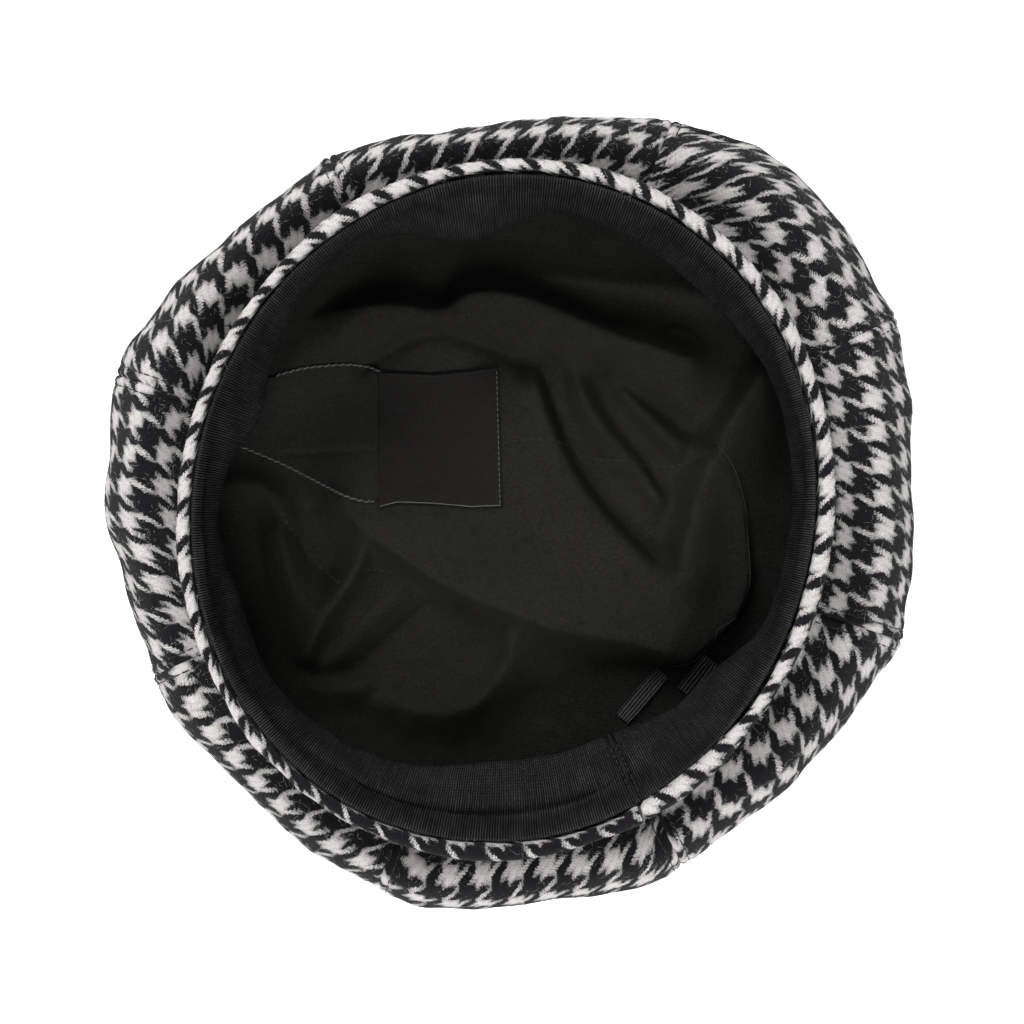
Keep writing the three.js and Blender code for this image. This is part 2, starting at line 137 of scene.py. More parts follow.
# How far the cloth's light row wanders out over the rim, from the join round
BAND_DRIFT = {"turn": (0, 20, 75, 255, 285, 305, 325, 360), "rise": (-1.4, -1.4, 0, 0, 1.2, 3.6, 5.6, 5.8)}
BAND_REPEAT = 10.75
BAND_START = 0.75
BAND_COLUMNS = 640
BAND_ROWS = [(0, 1, 22), (1, 2, 16), (2, 3, 8)]

SWEATBAND_TOP = height_of("sweatband", 1)
SWEATBAND_WIDTH = 30.0
WEBBING = 1.2
SWEATBAND_LEAN = 1.8
SWEATBAND_LOBES = table(
    "angle turn inset",
    (60, 26, 4.5), (98, 11, 9.5), (158, 11, 7.5), (200, 20, 4.0),
    (235, 18, 6.0), (264, 19, 14.0), (293, 21, 14.5), (322, 11, 5.0),
)
SWEATBAND_WAVES = [(0.5, 30, 21), (0.2, 11, 22)]
SWEATBAND_PADDING = [(1.0, 0.13, 0.16), (0.6, 0.8, 0.2)]
# The fold along its middle, at the back: places and widths are shares of the sweatband's width
CREASE = {"depth": 6.0, "from": 215, "to": 305, "at": 0.38, "sway": 0.04, "width": 0.12}
SWEATBAND_JOIN = np.array([293.3, 294.8])
RIBS = 756
RIB_STEPS = 3
RIB_ROWS = 21

# ------ lining, label and tapes
LINING_REST = 4.0
LINING_SPREAD = 30.0
LINING_PUFF = 3.0
LINING_THICKNESS = 0.5
LINING_FADE = {"width": 14, "least": 0.35}
LINING_TUCK = (JOINT_HEIGHT - 3.5, 40.0, 48.0)
LINING_WAVES = [(0.35, 18, 11), (0.16, 7, 12), (0.05, 3.5, 13)]
LINING_COLUMNS = 384
LINING_ROWS = 92
LINING_WALL_ROWS = 22
FOLD_SHARPNESS = 1.5
# Ridges and, with a negative rise, grooves of the lining's floor. Left and right are their widths
# on either side of the path, going along it.
LINING_FOLDS = table(
    "rise left right path",
    (15.3, 6, 14, [(-74, 52), (-62, 59), (-48, 62), (-34, 62), (-24, 61), (-14, 65), (-4, 66), (8, 63),
                   (20, 58), (32, 53), (44, 49), (53, 46)]),
    (14.4, 26, 5, [(-46, -2), (-38, -9), (-30, -14), (-20, -21), (-9, -26), (2, -30), (12, -34), (22, -36),
                   (34, -38), (46, -41)]),
    (11.9, 4, 18, [(8, 38), (11, 29), (15, 19), (20, 10), (26, 2), (33, -6), (41, -13), (47, -18),
                   (53, -18)]),
    (8, 4, 6, [(20, 44), (23, 34), (28, 26), (34, 19), (40, 12), (45, 4)]),
    (7.5, 5, 4, [(33, 40), (38, 33), (45, 26), (51, 20)]),
    (14.4, 15, 5, [(79, 47), (73, 37), (66, 26), (61, 16), (57, 5), (54, -6), (52, -14), (50, -19)]),
    (10.2, 3.5, 7, [(-50, 4), (-46, -2), (-44, -9), (-46, -16), (-51, -24), (-57, -33), (-62, -44)]),
    (8.5, 5, 7, [(-70, -6), (-67, -16), (-64, -24), (-59, -30), (-53, -27)]),
    (8.5, 5, 5, [(-88, 8), (-80, 9), (-73, 6), (-68, -1)]),
    (9.3, 5, 9, [(-60, -54), (-50, -53), (-42, -52), (-36, -57), (-28, -60), (-18, -60), (-10, -57),
                 (-4, -50), (0, -43), (1, -36)]),
    (6.8, 7, 6, [(-34, -24), (-42, -31), (-50, -40), (-56, -47)]),
    (4.2, 5, 3, [(14, 72), (30, 70), (46, 69), (60, 66)]),
    (7.6, 1.5, 12, [(64, 20), (70, 8), (72, -6), (73, -20), (69, -31), (62, -38), (55, -45), (48, -46)]),
    (4, 1.4, 1.4, [(45, 51), (48, 55), (52, 56), (57, 53), (58, 49)]),
    (-8.5, 4, 4, [(-24, 71), (-20, 66)]),
    (-6, 4, 3, [(12, 44), (15, 33), (19, 22), (24, 12), (30, 4), (37, -4), (44, -12)]),
    (-5, 7, 5, [(36, 4), (42, -4), (46, -10)]),
    (-5, 3, 3, [(28, 43), (31, 34), (37, 25), (43, 17), (47, 10)]),
    (-5.1, 2.5, 2.5, [(34, 40), (44, 33), (53, 27), (61, 21)]),
    (-4, 4, 4, [(4, 44), (14, 44), (26, 42)]),
    (-4.2, 2, 3, [(-45, 45), (-35, 51), (-27, 54), (-20, 55), (-12, 53), (-4, 50), (4, 46)]),
    (-4, 5, 5, [(-64, -2), (-60, -10), (-56, -16)]),
    (-5.1, 4, 4, [(-18, -28), (-28, -35), (-38, -44), (-50, -49), (-62, -50)]),
    (-3.4, 4, 4, [(-80, -8), (-78, -25), (-74, -38), (-68, -52), (-58, -63)]),
    (-3.4, 2.5, 2.5, [(-40, -48), (-40, -54)]),
    (-3.4, 3, 3, [(13, 69), (22, 64), (32, 59)]),
)
HEM = [(50, -46.5), (55, -45.5), (58, -43), (62, -39), (63, -35.5), (67, -33), (71, -29), (73, -20),
       (72.5, -8), (72, 0), (70, 8), (67, 15), (63, 20)]
# Seams and how far their stitches stand above the lining: the last one is sewn through the stay
LINING_SEAMS = table(
    "lift path",
    (0, [(-2, 21.5), (8, 22.5), (17, 21), (25, 17), (35, 16), (42, 14.5), (52, 14.8), (63, 20)]),
    (0, [(-70, 1), (-67, -5), (-63, -11), (-59, -16), (-54, -20), (-50, -22)]),
    (0, [(-44, -17), (-33, -18.5)]),
    (0.55, [(-70, 18), (-41, 19.5)]),
)
SEAM_GROOVE = {"depth": 0.55, "width": 0.9}

STAY_UPPER = [(-79, 40.5), (-71, 42), (-62, 44.3), (-52, 45.3), (-44, 45), (-38, 42.5), (-30, 41.5),
              (-6, 42)]
STAY_LOWER = [(-84, 21), (-70, 15.2), (-60, 10.2), (-50, 5.4), (-44, 3.6), (-36, 4.6), (-26, 4), (-6, 3)]
OVERLOCK_UPPER = STAY_UPPER[1:5] + [(-37.5, 42)]
OVERLOCK_LOWER = STAY_LOWER[:5] + [(-41, 3.7)]
OVERLOCK = {"radius": 0.22, "strand": 0.17, "pitch": 2.2}
# Patches that are laid on the lining: length runs along +X before the turn
LABEL = {"middle": (-21.5, 23), "length": 37.0, "width": 40.5, "turn": 1.5}
# How far the label's lower and upper edges wander from straight, from its left to its right
LABEL_WANDER = {"share": (0, 0.15, 0.45, 0.75, 1), "lower": (-0.4, 0.9, 0.2, -1.1, -0.9),
                "upper": (0.4, 0, -0.9, -0.2, 0.9)}
TAPES = table("middle length width turn", ((40.5, -56), 19.0, 5.0, 50), ((57.5, -50), 13.0, 6.0, 54))
TAPE_RIBS = 5
TAPE_COLUMNS = 40
TAPE_TAPER = 0.12

# Each sheet's width and length as cut, the share of that rectangle that it fills, how it is held
# and what it lies on. A gore is cut from the middle of the crown to the band.
SHEETS = [(f"tweed_crown_panel_{number}", 100, 165, 0.62, "stretched", ["tweed_headband"])
          for number in range(1, len(PANELS) + 1)]
SHEETS += [
    ("tweed_headband", 40, 590, 1.0, "folded", ["tweed_crown_panel_1"]),
    ("ribbed_sweatband", SWEATBAND_WIDTH, 570, 1.0, "hung", ["tweed_headband"]),
    ("cotton_lining", 330, 330, 0.79, "draped", ["tweed_crown_panel_1", "tweed_headband"]),
    ("cotton_label_stay", 76, 40, 1.0, "laid", ["cotton_lining"]),
    ("satin_label", 37, 40.5, 1.0, "laid", ["cotton_label_stay"]),
]

# ------ camera, light and floor, in metres and watts
CAMERA = {"place": (0.0006, 0.0004, RIM_HEIGHT * MM + 0.6), "sensor": 36, "lens": 75.94}
LIGHTS = [
    ("key", (-0.5, 1.0, 1.05), 0.6, 17.5),
    ("overhead", (0.1, 0.1, 1.5), 0.8, 3),
    ("near_side", (0.08, -0.8, 1.0), 0.5, 13),
]
SKY_STRENGTH = 0.26
FLOOR_GLOW = 0.8
WHITE = (1, 1, 1)


def make_stage():
    """A pale floor under soft light, seen from straight above the opening."""
    scene = bpy.context.scene
    scene.view_settings.view_transform = "Standard"

    camera = bpy.data.objects.new("camera", bpy.data.cameras.new("camera"))
    camera.location = CAMERA["place"]
    camera.data.sensor_width = CAMERA["sensor"]
    camera.data.lens = CAMERA["lens"]
    scene.collection.objects.link(camera)
    scene.camera = camera

    bpy.ops.mesh.primitive_plane_add(size=4, location=(0, 0, 0))
    floor = bpy.context.object
    floor.name = "floor"
    floor.data.materials.append(Shader("floor").finished(
        color=(0.90, 0.90, 0.90), roughness=0.9, specular=0.1, glow_color=WHITE, glow=FLOOR_GLOW))

    for name, place, size, power in LIGHTS:
        light = bpy.data.objects.new(name, bpy.data.lights.new(name, "AREA"))
        light.data.size = size
        light.data.energy = power
        light.location = place
        light.rotation_euler = (-light.location).to_track_quat("-Z", "Y").to_euler()
        scene.collection.objects.link(light)
    scene.world = bpy.data.worlds.new("studio")
    scene.world.use_nodes = True
    sky = scene.world.node_tree.nodes["Background"].inputs
    sky["Color"].default_value = (*WHITE, 1)
    sky["Strength"].default_value = SKY_STRENGTH


# ------ material nodes
SURFACE_SOCKETS = {"color": "Base Color", "roughness": "Roughness", "specular": "Specular IOR Level",
                   "normal": "Normal", "sheen": "Sheen Weight", "glow_color": "Emission Color",
                   "glow": "Emission Strength"}


class Value:
    """What a node gives. Sums, differences and products of numbers make new math nodes."""

    def __init__(self, shader, socket):
        self.shader = shader
        self.socket = socket

    def __add__(self, other):
        return self.shader.math("ADD", self, other)

    def __sub__(self, other):
        return self.shader.math("SUBTRACT", self, other)

    def __mul__(self, other):
        return self.shader.math("MULTIPLY", self, other)


class Shader:
    """A material whose nodes are written as small calls."""

    def __init__(self, name):
        self.material = bpy.data.materials.new(name)
        self.material.use_nodes = True
        self.tree = self.material.node_tree
        self.place = self.node("TexCoord", {}, "Object")

    def feed(self, socket, value):
        if isinstance(value, Value):
            self.tree.links.new(value.socket, socket)
        elif isinstance(value, tuple) and len(socket.default_value) == 4:
            socket.default_value = (*value, 1)
        else:
            socket.default_value = value

    def node(self, kind, inputs, output=0, **settings):
        """An output of a new node. Its inputs and the output are given by place or name."""
        node = self.tree.nodes.new("ShaderNode" + kind)
        for setting, value in settings.items():
            setattr(node, setting, value)
        for socket, value in inputs.items():
            self.feed(node.inputs[socket], value)
        return Value(self, node.outputs[output])

    def math(self, operation, *values):
        return self.node("Math", dict(enumerate(values)), operation=operation)

    def wave(self, value, turns, operation="SINE"):
        return self.math(operation, value * (TURN * turns))

    def vector(self, operation, *values):
        return self.node("VectorMath", dict(enumerate(values)), operation=operation)

    def weave(self):
        return self.node("UVMap", {}, uv_map="weave")

    def plane(self, vector):
        """A vector's first two parts."""
        return [self.node("SeparateXYZ", {0: vector}, axis) for axis in (0, 1)]

    def joined(self, *values):
        return self.node("CombineXYZ", dict(enumerate(values)))

    def noise(self, scale, detail=2.0, roughness=0.5, place=None, output="Fac"):
        inputs = {"Vector": place or self.place, "Scale": scale, "Detail": detail, "Roughness": roughness}
        return self.node("TexNoise", inputs, output)

    def wandered(self, vector, share, *grain):
        """A vector moved by a noise, by up to half the share."""
        drift = self.vector("SUBTRACT", self.noise(*grain, output="Color"), (0.5, 0.5, 0.5))
        return self.vector("ADD", vector, self.vector("MULTIPLY", drift, (share, share, share)))

    def mix(self, share, first, second):
        return self.node("Mix", {0: share, 6: first, 7: second}, 2, data_type="RGBA")

    def blend(self, share, first, second):
        return self.node("Mix", {0: share, 2: first, 3: second}, data_type="FLOAT")

    def ramp(self, value, low, high, start=0.0, end=1.0):
        return self.node("MapRange", dict(enumerate((value, low, high, start, end))))

    def bump(self, height, distance, strength=1.0):
        return self.node("Bump", {"Height": height, "Distance": distance * MM, "Strength": strength})

    def finished(self, **values):
        """The material, with these values on its surface."""
        for name, value in values.items():
            self.feed(self.tree.nodes["Principled BSDF"].inputs[SURFACE_SOCKETS[name]], value)
        return self.material


def tweed_material():
    """Houndstooth in a twill: eight dark yarns and eight light ones each way, milled soft."""
    cloth = Shader("tweed")
    weave = cloth.weave()
    for drift in ((0.10, 1100, 2.0, 0.6), (0.12, 3600, 2.0, 0.7), (0.12, 220, 1.0, 0.5)):
        weave = cloth.wandered(weave, *drift)
    u, v = cloth.plane(weave)

    def yarn(value):
        """The middle of the yarn that a value is in."""
        return (cloth.math("FLOOR", value * YARNS) + 0.5) * (1 / YARNS)

    def crossing(over, under, seed):
        uneven = cloth.noise(1.0, 1.0, place=cloth.joined(over * 83.0, under * 3.0, seed))
        return uneven * 0.16 + (over - under)

    def stripes(way):
        """Above 0 on the dark yarns, with a step where they meet the light ones."""
        return cloth.wave(way, 1) + cloth.ramp(cloth.wave(yarn(way), 1), -0.2, 0.2, -0.15, 0.15)

    twill = (cloth.wave(crossing(yarn(u), v, 0.0) + TWILL_START, 2)
             - cloth.wave(crossing(yarn(v), u, 7.0) - TWILL_START, 2))
    warp_up = cloth.ramp(twill, -0.7, 0.7)
    warp, weft = stripes(u), stripes(v)
    unlike = cloth.math("ABSOLUTE", warp - weft)
    yarns = cloth.blend(warp_up, cloth.wave(v, YARNS / 2), cloth.wave(u, YARNS / 2))
    yarns = cloth.math("ABSOLUTE", yarns)
    gap = cloth.ramp(yarns, 0.0, 0.6, 1.0, 0.0)
    tone = cloth.blend(warp_up, weft, warp) + unlike * (gap * ARM_GAPS + ARM_DARKENING)
    fuzz = cloth.noise(2400, 3.0, 0.7) * 1.6 + (DARK_BIAS - 0.8)
    dark = cloth.ramp(tone + fuzz, -0.6, 0.6)

    mottle = cloth.noise(1500, 3.0, 0.65)
    light = cloth.mix(mottle, (0.56, 0.545, 0.53), (0.92, 0.905, 0.88))
    # Painted shade: the light yarns are greyed towards their edges, where the rounded yarns meet
    light = cloth.mix(gap * 0.45, light, (0.34, 0.32, 0.31))
    black = cloth.mix(mottle, (0.002, 0.0017, 0.0023), (0.018, 0.016, 0.019))
    return cloth.finished(color=cloth.mix(dark, light, black), roughness=0.95, specular=0.08,
                          normal=cloth.bump(yarns * 0.5 + mottle, 0.45, 0.8), sheen=0.05)


def plain_cloth(name, low, high, pitch, depth, roughness):
    """A fine twill of one colour, with slubs and cloudy patches."""
    cloth = Shader(name)
    x, y = cloth.plane(cloth.wandered(cloth.place, 0.4 * pitch * MM, 500, 2.0, 0.6))
    threads = cloth.wave(x * 0.62 + y, 1 / (pitch * MM)) * 0.5 + 0.5
    grain = cloth.noise(1700, 4.0, 0.85)
    slub = cloth.noise(1.0, 2.0, 0.6, cloth.vector("MULTIPLY", cloth.place, (300, 2200, 900)))
    share = cloth.ramp(grain, 0.36, 0.64) * 0.6 + cloth.noise(60) * 0.2 + threads * 0.25
    speck = cloth.ramp(cloth.noise(4200, 2.0, 0.8), 0.62, 0.78) * 0.5
    color = cloth.mix(speck, cloth.mix(share, low, high), high)
    return cloth.finished(color=color, roughness=roughness, specular=0.04,
                          normal=cloth.bump(threads * 0.5 + grain + slub, depth))


def thread_material(name, low, high):
    """Spun thread or wool of one colour, with light and dark stretches."""
    thread = Shader(name)
    color = thread.mix(thread.noise(1800, 2.0, 0.6), low, high)
    fibres = thread.noise(1.0, place=thread.vector("MULTIPLY", thread.place, (2200, 2200, 5000)))
    return thread.finished(color=color, roughness=0.85, specular=0.15, normal=thread.bump(fibres, 0.05),
                           sheen=0.2)


def webbing_material(name, dark, light, worn):
    """Ribbed webbing: dark between the ribs as painted shade, with woven light specks towards its free
    edge.
    """
    web = Shader(name)
    weave = web.weave()
    across, along = web.plane(web.wandered(weave, 0.45, 420, 3.0, 0.7))
    width = web.plane(weave)[1]
    # Painted shade: the colour is darker in the grooves between the ribs and lighter on their crests
    crest = web.ramp(web.wave(across, 1, "COSINE") * 0.5 + 0.5, 0.2, 0.85)
    picks = web.math("SINE", width * (30 * TURN) + along * 2.0) * 0.325 + 0.675
    woven = crest * web.blend(web.ramp(width, 0.30, 0.75), 0.85, picks)
    grain = web.noise(2600, 3.0, 0.75)
    patchy = web.noise(110, 3.0, 0.6)
    streak = web.noise(1.0, 2.0, 0.6, web.vector("MULTIPLY", weave, (0.9, 2.5, 1.0)))
    share = woven * web.ramp(grain, 0.35, 0.65, 0.2, 1.3)
    share = share * web.ramp(patchy, 0.3, 0.7, 0.5, 1.2) * web.ramp(streak, 0.3, 0.7, 0.5, 1.4)
    specks = web.ramp(web.noise(1900, 3.0, 0.8), 0.61, 0.70)
    specks = specks * web.ramp(width, 0.40, 0.80, 0.08, 0.75)
    return web.finished(color=web.mix(specks, web.mix(share, dark, light), worn), roughness=0.8,
                        specular=0.15, normal=web.bump(grain * 0.7 + woven, 0.2))


# ------ lines and surfaces
UP = np.array([0, 0, 1.0])
LEVEL = np.array([1, 1, 0])


def bell(offset, width):
    return np.exp(-(offset / width) ** 2)


def relief(distance, rows, start=0.0):
    """A sum of bells at their places, on top of a start."""
    return sum((lift * bell(distance - place, width) for lift, place, width in rows), start)


def smooth_step(value, low, high):
    share = np.clip((value - low) / (high - low), 0, 1)
    return share * share * (3 - 2 * share)


def ripple(points, length, seed):
    """Smooth, even waviness between about -1 and 1, the same on every run."""
    source = np.random.default_rng(seed)
    total = np.zeros(points.shape[:-1])
    for _ in range(9):
        direction = source.normal(size=3)
        direction *= TURN / (length * source.uniform(0.7, 1.5) * np.linalg.norm(direction))
        total += np.sin(points @ direction + source.uniform(0, TURN))
    return total / 3.5


def waves(points, rows, start=0.0):
    """A sum of ripples, on top of a start."""
    return sum((size * ripple(points, length, seed) for size, length, seed in rows), start)


def turn_between(angle, degrees):
    return (np.degrees(angle) - degrees + 180) % 360 - 180


def rotated(u, v, degrees, middle=(0, 0)):
    """Places in a plane, turned about its middle and moved with it."""
    angle = math.radians(degrees)
    x = middle[0] + u * math.cos(angle) - v * math.sin(angle)
    y = middle[1] + u * math.sin(angle) + v * math.cos(angle)
    return x, y


def around(radius, angle, height):
    """Points from their distance and angle about the hat's middle, and their height."""
    return np.stack(np.broadcast_arrays(radius * np.cos(angle), radius * np.sin(angle), height), -1)


def ring_angles(count):
    return np.linspace(0, TURN, count, endpoint=False)


def spaced(stretches):
    """Values over stretches of (low, high, count), and the end of the last."""
    parts = [np.linspace(low, high, count, endpoint=False) for low, high, count in stretches]
    return np.append(np.concatenate(parts), stretches[-1][1])


def unit(vectors):
    return vectors / np.maximum(np.linalg.norm(vectors, axis=-1, keepdims=True), 1e-9)


def normals_of(grid):
    """Unit normals of a grid of points: second axis crossed with the first."""
    return unit(np.cross(np.gradient(grid, axis=1), np.gradient(grid, axis=0)))


def ring_normals(grid):
    """Normals of a grid whose second axis closes on itself."""
    return normals_of(np.pad(grid, ((0, 0), (2, 2), (0, 0)), mode="wrap"))[:, 2:-2]


def facing(normals, row, direction):
    """The same normals, all turned over if those of one row point away from a direction."""
    return normals if np.sum(normals[row] * direction) > 0 else -normals


def smooth_line(stops, steps=6):
    """A smooth line through the stops, with a number of steps from each to the next."""
    stops = np.asarray(stops, float)
    ends = np.concatenate([2 * stops[:1] - stops[1:2], stops, 2 * stops[-1:] - stops[-2:-1]])
    parts = []
    t = np.linspace(0, 1, steps, endpoint=False)[:, None]
    for before, start, end, after in zip(ends[:-3], ends[1:-2], ends[2:-1], ends[3:]):
        bend = (2 * before - 5 * start + 4 * end - after) * t
        bend = bend + (3 * start - before - 3 * end + after) * t * t
        parts.append(start + 0.5 * t * (end - before + bend))
    return np.concatenate(parts + [stops[-1:]])


def run_along(points):
    """How far along its first axis each point of a line or a grid lies."""
    steps = np.diff(points, axis=0, prepend=points[:1])
    return np.cumsum(np.linalg.norm(steps, axis=-1), axis=0)


def sampled(at, run, values):
    """Values given along a run, at other places of that run."""
    return np.stack([np.interp(at, run, values[:, axis]) for axis in range(values.shape[1])], -1)


def evenly(line, spacing):
    """The same line with its points a set distance apart."""
    run = run_along(line)
    return sampled(np.linspace(0, run[-1], max(2, round(run[-1] / spacing) + 1)), run, line)


def from_line(line, x, y):
    """Distance from a line, and the side: 1 on its left, -1 on its right."""
    best = np.full(x.shape, np.inf)
    side = np.zeros(x.shape)
    for (ax, ay), (bx, by) in zip(line[:-1], line[1:]):
        ux, uy = bx - ax, by - ay
        share = np.clip(((x - ax) * ux + (y - ay) * uy) / (ux * ux + uy * uy), 0, 1)
        dx, dy = x - ax - share * ux, y - ay - share * uy
        distance = np.hypot(dx, dy)
        nearer = distance < best
        best = np.where(nearer, distance, best)
        turn = (ux * dy - uy * dx) / (math.hypot(ux, uy) * np.maximum(distance, 1e-6))
        side = np.where(nearer, turn, side)
    return best, side


# ------ the hat's outlines
def rim_radius(angle):
    """The outside of the band, seen from above."""
    shift = RIM_SHIFT["size"] * np.cos(angle - math.radians(RIM_SHIFT["towards"]))
    oval = RIM_OVAL["size"] * np.cos(2 * (angle - math.radians(RIM_OVAL["along"])))
    return RIM_RADIUS + shift + oval


def fold_thickness(angle):
    return FOLD["thickness"] + FOLD["swell"] * np.cos(angle - math.radians(FOLD["towards"]))


def outline_radius(angle):
    """The widest outline: in each panel a smooth curve through its stops, with a corner at the seam."""
    first = PANELS[0]["seam"]
    degrees = (np.degrees(angle) - first + 1e-7) % 360 + first
    radius = np.zeros_like(degrees)
    for panel, following in zip(PANELS, PANELS[1:] + PANELS[:1]):
        width = (following["seam"] - panel["seam"]) % 360
        inside = (degrees >= panel["seam"]) & (degrees < panel["seam"] + width)
        way = 4 * (degrees - panel["seam"]) / width
        stops = [*panel["radii"], following["radii"][0]]
        curve = np.zeros_like(degrees)
        for own, stop in enumerate(stops):
            share = np.ones_like(degrees)
            for other in set(range(len(stops))) - {own}:
                share = share * (way - other) / (own - other)
            curve += stop * share
        radius = np.where(inside, curve, radius)
    return radius


def crown_point(angle, way, dents=1.0):
    """The crown's outer face: way is 0 to 1 over the flat rest, to 2 at the widest, to 3 at the band."""
    angle, way = np.broadcast_arrays(np.asarray(angle, float), np.asarray(way, float))
    reach = outline_radius(angle)
    flat = reach - ROLL
    joint = rim_radius(angle) - fold_thickness(angle) / 2
    roll = np.clip(way - 1, 0, 1) * math.pi / 2
    rise = np.clip(way - 2, 0, 1)
    top = rise * math.pi / 2
    inward = np.maximum(np.cos(top), 0) ** (2 / CROWN_FULLNESS)
    upward = np.sin(top) ** (2 / CROWN_FULLNESS)
    radius = CROWN_POINT + (flat - CROWN_POINT) * np.clip(way, 0, 1) + ROLL * np.sin(roll)
    radius = np.where(way > 2, joint + (reach - joint) * inward, radius)
    height = WIDEST_HEIGHT * (1 - np.cos(roll)) + (JOINT_HEIGHT - WIDEST_HEIGHT) * upward
    size, foot, crest, fall, start, full = CROWN_SWELL.values()
    swell = size * (reach - joint) * smooth_step(inward, foot, crest)
    swell = swell * bell(np.maximum(0, inward - crest), fall)
    height = height + swell * smooth_step(rise, start, full)
    dent = np.zeros_like(radius)
    for row in CROWN_DENTS:
        dent = dent + (row["depth"] * bell(turn_between(angle, row["angle"]), row["turn"])
                       * bell(rise - row["rise"], row["width"]))
    dent = dents * dent * np.sin(np.minimum(1, (1 - rise) / DENTS["top"]) * math.pi / 2)
    dent = dent * np.minimum(1, rise / DENTS["foot"])
    return around(radius - dent * DENTS["inward"], angle, height - dent * DENTS["down"])


# ------ making pieces
def make_piece(name, body, material, stands_for=(), uv=None):
    """A mesh object of a body, with the same pattern coordinates on both layers of a shell."""
    points, faces = body
    mesh = bpy.data.meshes.new(name)
    corners = np.concatenate([part.ravel() for part in faces]).astype(np.int32)
    sizes = np.concatenate([np.full(len(part), part.shape[1]) for part in faces])
    starts = np.concatenate([[0], np.cumsum(sizes)[:-1]]).astype(np.int32)
    mesh.vertices.add(len(points))
    mesh.vertices.foreach_set("co", (points * MM).astype(np.float32).ravel())
    mesh.loops.add(len(corners))
    mesh.loops.foreach_set("vertex_index", corners)
    mesh.polygons.add(len(sizes))
    mesh.polygons.foreach_set("loop_start", starts)
    if uv is not None:
        uv = np.resize(uv, (len(points), 2)).astype(np.float32)
        mesh.uv_layers.new(name="weave").data.foreach_set("uv", uv[corners].ravel())
    mesh.update(calc_edges=True)
    mesh.validate()
    mesh.polygons.foreach_set("use_smooth", np.ones(len(sizes), bool))
    mesh.materials.append(material)
    piece = bpy.data.objects.new(name, mesh)
    bpy.context.scene.collection.objects.link(piece)
    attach(piece, "root")
    if stands_for:
        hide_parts(*stands_for)


def grid_quads(index):
    """The quads of a grid of point numbers."""
    return np.stack([index[:-1, :-1], index[:-1, 1:], index[1:, 1:], index[1:, :-1]], -1).reshape(-1, 4)


def shell(face, back, ring=False):
    """A closed body between two grids of points. A ring closes on itself."""
    rows, wide = face.shape[:2]
    behind = rows * wide
    index = np.arange(behind).reshape(rows, wide)
    if ring:
        index = np.pad(index, ((0, 0), (0, 1)), mode="wrap")

    def wall(start, end):
        return np.stack([start, end, end + behind, start + behind], -1)

    front = grid_quads(index)
    top, foot, left, right = index[0], index[-1], index[:, 0], index[:, -1]
    faces = [front, front[:, ::-1] + behind, wall(top[1:], top[:-1]), wall(foot[:-1], foot[1:])]
    if not ring:
        faces += [wall(left[:-1], left[1:]), wall(right[1:], right[:-1])]
    return outward(np.concatenate([face.reshape(-1, 3), back.reshape(-1, 3)]), faces)


def outward(points, faces):
    """A body of these points and faces, turned over if they enclose a negative volume."""
    volume = 0.0
    for part in faces:
        corners = [points[column] for column in part.T]
        for second, third in zip(corners[1:-1], corners[2:]):
            volume += np.einsum("ij,ij->", corners[0], np.cross(second, third))
    return points, faces if volume > 0 else [part[:, ::-1] for part in faces]


def joined(bodies):
    """Several bodies as one."""
    points, faces, used = [], [], 0
    for own_points, own_faces in bodies:
        points.append(own_points)
        faces.extend(face + used for face in own_faces)
        used += len(own_points)
    return np.concatenate(points), faces


# ------ threads and hairs
# Length, gap and radius of the stitches in each place
STITCHES = {"seam": (2.7, 0.5, 0.2), "sweatband": (2.2, 0.3, 0.24), "lining": (1.9, 0.9, 0.17),
            "label": (1.1, 0.55, 0.1)}
STITCH_PROFILE = np.array([0.55, 0.95, 1.0, 0.95, 0.55])
STITCH_ARCH = np.array([-1.2, 0.2, 0.7, 0.2, -1.2])
ASKEW = np.array([0.31, 0.17, 0.94])


def spokes(across, upward, sides):
    """Directions evenly round a tangent, from two that are square to it."""
    turn = (np.arange(sides) * TURN / sides)[:, None]
    return across[..., None, :] * np.cos(turn) + upward[..., None, :] * np.sin(turn)


def tubes(paths, radii, sides=5):
    """A body of closed tubes along paths of one length. radii has one value per path point."""
    count, steps = paths.shape[:2]
    tangent = unit(np.gradient(paths, axis=1))
    across = unit(np.cross(tangent, ASKEW))
    rings = paths[:, :, None] + spokes(across, np.cross(across, tangent), sides) * radii[:, None, None]
    index = np.arange(count * steps * sides).reshape(count, steps, sides)
    following = np.roll(index, -1, axis=2)
    quads = np.stack([index[:, :-1], following[:, :-1], following[:, 1:], index[:, 1:]], -1).reshape(-1, 4)
    return outward(rings.reshape(-1, 3), [quads, np.concatenate([index[:, 0, ::-1], index[:, -1]])])


def cord(line, radius):
    return tubes(line[None], np.full(len(line), radius), 6)


def stitches(line, normals, kind):
    """A row of stitches along a dense line on a surface, each one arched and sunk at its ends."""
    length, gap, radius = STITCHES[kind]
    run = run_along(line)
    starts = np.arange(int(run[-1] // (length + gap))) * (length + gap) + gap / 2
    at = starts[:, None] + np.linspace(0, length, len(STITCH_PROFILE))[None, :]
    spots, lifts = sampled(at, run, line), sampled(at, run, normals)
    return tubes(spots + lifts * (STITCH_ARCH * radius)[None, :, None], STITCH_PROFILE * radius)


def twisted(line, start, radius, strand, pitch):
    """One strand wound round a line, beginning at an angle."""
    dense = evenly(line, pitch / 8)
    tangent = unit(np.gradient(dense, axis=0))
    across = unit(np.cross(tangent, UP))
    turn = (np.arange(len(dense)) / 8 * TURN + start)[:, None]
    return cord(dense + radius * (across * np.cos(turn) + np.cross(across, tangent) * np.sin(turn)), strand)


